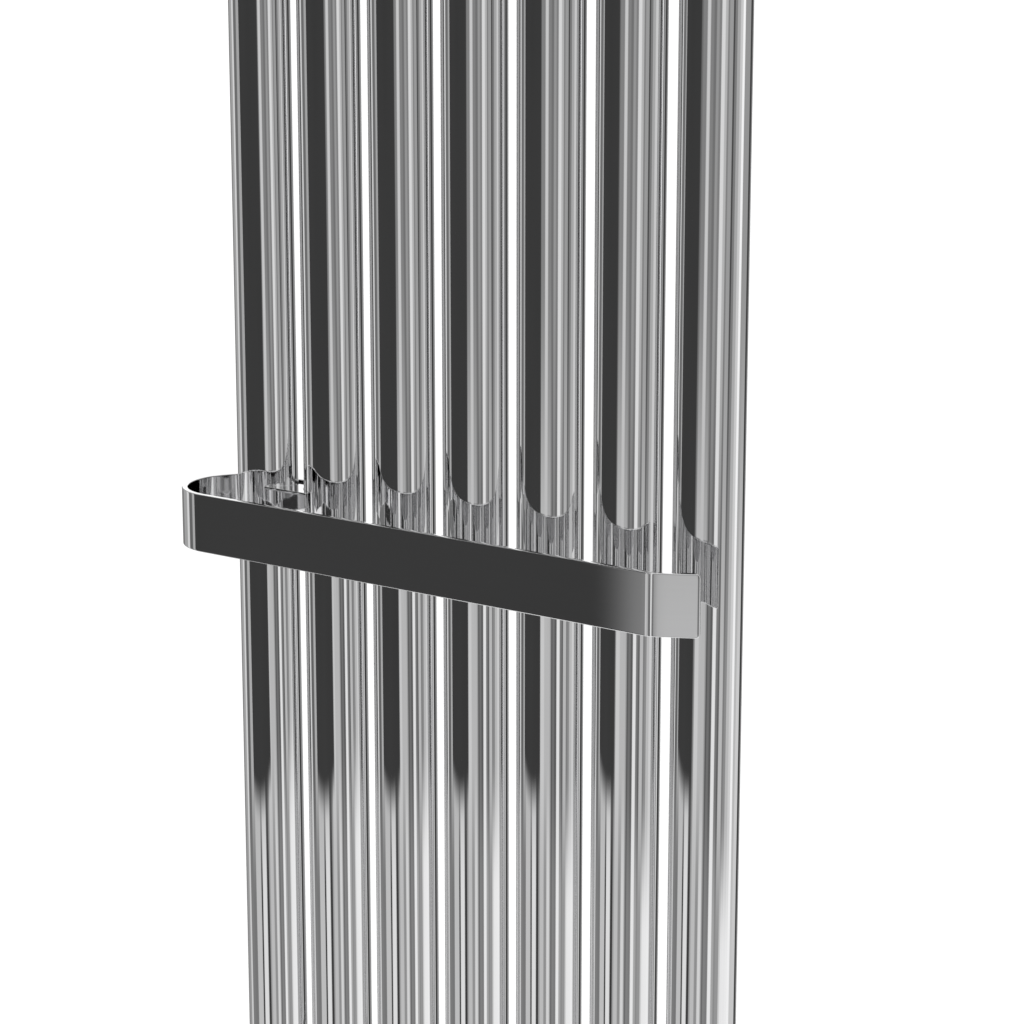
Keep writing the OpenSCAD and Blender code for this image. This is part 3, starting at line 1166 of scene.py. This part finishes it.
@dataclass(frozen=True)
class Panel:
    """One upright stripe of the tent, as far as the next panel's start.

    Args:
        start: the azimuth where it begins, from the front towards the right.
        top: its tone at the height of the radiator and above.
        middle: its tone below the radiator's middle.
        base: its tone near the floor.
    """

    start: float
    top: float
    middle: float
    base: float


@dataclass
class Tent:
    """A round tent of light and dark panels that only shows in reflections."""

    radius: float = 1.9
    half_height: float = 2.6
    soft: float = 1.2
    upper_blend: tuple[float, float] = (-0.45, -1.05)
    lower_blend: tuple[float, float] = (-1.15, -1.36)
    panels: tuple[Panel, ...] = (
        Panel(-180.0, 0.55, 0.55, 0.55),
        Panel(-160.0, 0.98, 0.90, 0.80),
        Panel(-122.0, 0.46, 0.46, 0.50),
        Panel(-104.0, 0.62, 0.62, 0.58),
        Panel(-88.0, 0.82, 0.82, 0.80),
        Panel(-80.0, 0.42, 0.38, 0.48),
        Panel(-70.0, 0.64, 0.67, 0.46),
        Panel(-61.0, 0.60, 0.70, 0.74),
        Panel(-48.0, 0.60, 0.70, 0.12),
        Panel(-44.5, 0.60, 0.70, 0.86),
        Panel(-35.0, 0.38, 0.38, 0.22),
        Panel(-29.5, 0.42, 0.50, 0.62),
        Panel(-26.5, 0.50, 0.78, 0.73),
        Panel(-18.5, 0.78, 0.71, 0.56),
        Panel(-12.5, 0.50, 0.71, 0.82),
        Panel(-6.0, 0.44, 0.58, 0.58),
        Panel(-3.5, 0.44, 0.32, 0.38),
        Panel(-1.0, 0.58, 0.43, 0.50),
        Panel(4.5, 0.50, 0.34, 0.48),
        Panel(9.5, 0.84, 0.88, 0.90),
        Panel(17.5, 0.70, 0.46, 0.64),
        Panel(23.5, 0.50, 0.36, 0.54),
        Panel(27.6, 0.60, 0.72, 0.58),
        Panel(38.0, 0.27, 0.48, 0.80),
        Panel(43.0, 0.48, 0.54, 0.90),
        Panel(51.0, 0.65, 0.72, 0.91),
        Panel(63.0, 0.78, 0.80, 0.92),
        Panel(75.0, 0.95, 0.94, 0.94),
        Panel(88.0, 0.58, 0.72, 0.77),
        Panel(104.0, 0.58, 0.80, 0.78),
        Panel(135.0, 0.24, 0.22, 0.24),
        Panel(163.0, 0.55, 0.55, 0.55),
    )

    def ring(self, graph: Graph, azimuth: Val, tones: list[float]) -> Val:
        """Brightness round the tent at one height.

        Args:
            graph: the tent material's graph.
            azimuth: the azimuth in degrees.
            tones: one display tone for each panel.

        Returns:
            The brightness there.
        """
        levels = [radiance(t) for t in tones]
        total = azimuth * 0.0 + levels[0]
        for panel, before, after in zip(self.panels[1:], levels, levels[1:]):
            if after != before:
                rise = graph.step(azimuth, panel.start - self.soft, panel.start + self.soft)
                total = rise * (after - before) + total
        return total

    def build(self) -> bpy.types.Object:
        """The tent's wall with its panels."""
        made, graph = new_material("tent_panels")
        x, y, z = graph.split()
        azimuth = x.angle_from((y - TUBE_Y * MM) * -1.0) * math.degrees(1.0)
        top = self.ring(graph, azimuth, [p.top for p in self.panels])
        middle = self.ring(graph, azimuth, [p.middle for p in self.panels])
        base = self.ring(graph, azimuth, [p.base for p in self.panels])
        down = graph.step(z, *self.upper_blend)
        under = graph.step(z, *self.lower_blend)
        body = top + (middle - top) * down
        light = body + (base - body) * under
        colour = graph.node("ShaderNodeCombineColor", None, {0: light, 1: light, 2: light})
        graph.surface({**GLOW, "Emission Color": colour.outputs[0]})
        shape = Shape()
        edges = ring_edges(shape, self.radius, 180, -self.half_height)
        swept(shape, edges, (0.0, 0.0, 2 * self.half_height))
        shape.moved(Matrix.Translation((0.0, TUBE_Y * MM, 0.0)))
        return stage_mesh(shape, "studio_tent", made, reflected_only=True)


@dataclass
class DarkCard:
    """A tall dark card beside the camera that gives the metal its broad dark stripe."""

    left: tuple[float, float] = (-0.900, -0.514)
    right: tuple[float, float] = (-0.390, -0.970)
    base: float = -0.925
    fade: float = 0.05
    side_fade: float = 0.035
    top: float = 1.60
    tone: float = 0.222

    def build(self) -> bpy.types.Object:
        """The card, fading out at its lower edge and at its right edge."""
        made, graph = new_material("dark_card")
        x, _, z = graph.split()
        low = graph.step(z, self.base, self.base + self.fade)
        side = 1.0 - graph.step(x, self.right[0] - self.side_fade, self.right[0])
        cover = low * side
        grain = graph.noise((3.0, 3.0, 3.0), 1.0)
        shade = radiance(self.tone)
        colour = graph.mix(grain, (shade * 0.9,) * 3, (shade * 1.1,) * 3)
        card = graph.node("ShaderNodeBsdfPrincipled", None, {**GLOW, "Emission Color": colour})
        clear = graph.node("ShaderNodeBsdfTransparent")
        mixed = graph.node("ShaderNodeMixShader", None, {0: cover, 1: clear.outputs[0], 2: card.outputs[0]})
        graph.node("ShaderNodeOutputMaterial", None, {"Surface": mixed.outputs[0]})
        shape = Shape()
        line = [shape.bm.verts.new((*point, self.base)) for point in (self.left, self.right)]
        edge = shape.bm.edges.new(line)
        swept(shape, [edge], (0.0, 0.0, self.top - self.base))
        return stage_mesh(shape, "studio_dark_card", made, reflected_only=True)


def stage_mesh(shape: Shape, name: str, material: bpy.types.Material,
               reflected_only: bool) -> bpy.types.Object:
    """Turns a shape in metres into an object of the studio.

    Args:
        shape: the mesh; it is used up.
        name: the object's name.
        material: its material.
        reflected_only: whether only mirror-like surfaces see it.

    Returns:
        The new object.
    """
    mesh = bpy.data.meshes.new(name)
    shape.bm.to_mesh(mesh)
    shape.bm.free()
    mesh.materials.append(material)
    made = bpy.data.objects.new(name, mesh)
    bpy.context.scene.collection.objects.link(made)
    if reflected_only:
        for ray in ("camera", "diffuse", "shadow", "transmission", "volume_scatter"):
            setattr(made, f"visible_{ray}", False)
    return made


@dataclass
class Studio:
    """Pale floor, white surroundings and soft lamps."""

    floor_z: float = -1.02
    floor_size: float = 40.0

    def floor(self) -> bpy.types.Object:
        """The pale floor, which reflections don't see."""
        made, graph = new_material("pale_floor")
        cloud = graph.noise((1.2, 1.2, 1.2), 3.0)
        fine = graph.noise((60.0, 60.0, 60.0), 2.0)
        graph.surface({
            "Base Color": graph.mix(cloud * 0.7 + fine * 0.3, (0.90, 0.90, 0.90), (0.93, 0.93, 0.93)),
            "Roughness": fine * 0.1 + 0.6, "Specular IOR Level": 0.1})
        shape = Shape()
        bmesh.ops.create_grid(shape.bm, x_segments=1, y_segments=1, size=self.floor_size / 2,
                              matrix=Matrix.Translation((0.0, 0.0, self.floor_z)))
        floor = stage_mesh(shape, "studio_floor", made, reflected_only=False)
        floor.visible_glossy = False
        return floor

    def lamp(self, name: str, place: Vector, spread: float, strength: float) -> bpy.types.Object:
        """A broad soft light that comes evenly from one direction.

        Args:
            name: the light's name.
            place: the direction it comes from, as a point seen from the radiator's middle.
            spread: the angle that its source fills, in degrees.
            strength: its strength, in watts on each square metre.

        Returns:
            The new light.
        """
        data = bpy.data.lights.new(name, "SUN")
        data.angle = math.radians(spread)
        data.energy = strength
        lamp = bpy.data.objects.new(name, data)
        lamp.rotation_euler = (-place).to_track_quat("-Z", "Y").to_euler()
        lamp.visible_glossy = False
        bpy.context.scene.collection.objects.link(lamp)
        return lamp

    def world(self) -> None:
        """White surroundings."""
        world = bpy.data.worlds.new("white_surroundings")
        world.use_nodes = True
        graph = Graph(world.node_tree)
        back = graph.node("ShaderNodeBackground", None, {"Color": (1.0, 1.0, 1.0, 1.0), "Strength": 1.0})
        graph.node("ShaderNodeOutputWorld", None, {"Surface": back.outputs[0]})
        bpy.context.scene.world = world
        bpy.context.scene.view_settings.view_transform = "Standard"

    def build(self) -> None:
        """The whole studio."""
        self.world()
        self.floor()
        self.lamp("light_above", Vector((0.3, -0.6, 3.4)), spread=70.0, strength=0.45)
        self.lamp("light_behind", Vector((-0.8, 2.2, 3.0)), spread=60.0, strength=0.25)
        Tent().build()
        DarkCard().build()


@dataclass
class Camera:
    """The camera in front, to the right of the radiator and level with its middle."""

    place: Triple = (1.114, -1.523, -0.001)
    yaw: float = 37.0
    pitch: float = 12.62
    focal: float = 100.9
    sensor: float = 36.0

    def build(self) -> bpy.types.Object:
        """The scene's camera."""
        data = bpy.data.cameras.new("camera")
        data.lens = self.focal
        data.sensor_width = self.sensor
        data.clip_start = 0.05
        data.clip_end = 60.0
        data.dof.use_dof = False
        made = bpy.data.objects.new("camera", data)
        yaw, pitch = math.radians(self.yaw), math.radians(self.pitch)
        ahead = Vector((-math.sin(yaw) * math.cos(pitch), math.cos(yaw) * math.cos(pitch),
                        -math.sin(pitch)))
        made.location = self.place
        made.rotation_euler = ahead.to_track_quat("-Z", "Y").to_euler()
        bpy.context.scene.collection.objects.link(made)
        bpy.context.scene.camera = made
        return made


def main() -> None:
    """Builds every piece of the radiator and the studio round it."""
    logging.basicConfig(level=logging.INFO, format="%(name)s %(message)s")
    OvalTubes().build()
    Headers().build()
    EndFittings().build()
    Brackets().build()
    TowelRail().build()
    RailClamp().build()
    Studio().build()
    Camera().build()


if __name__ == "__main__":
    main()
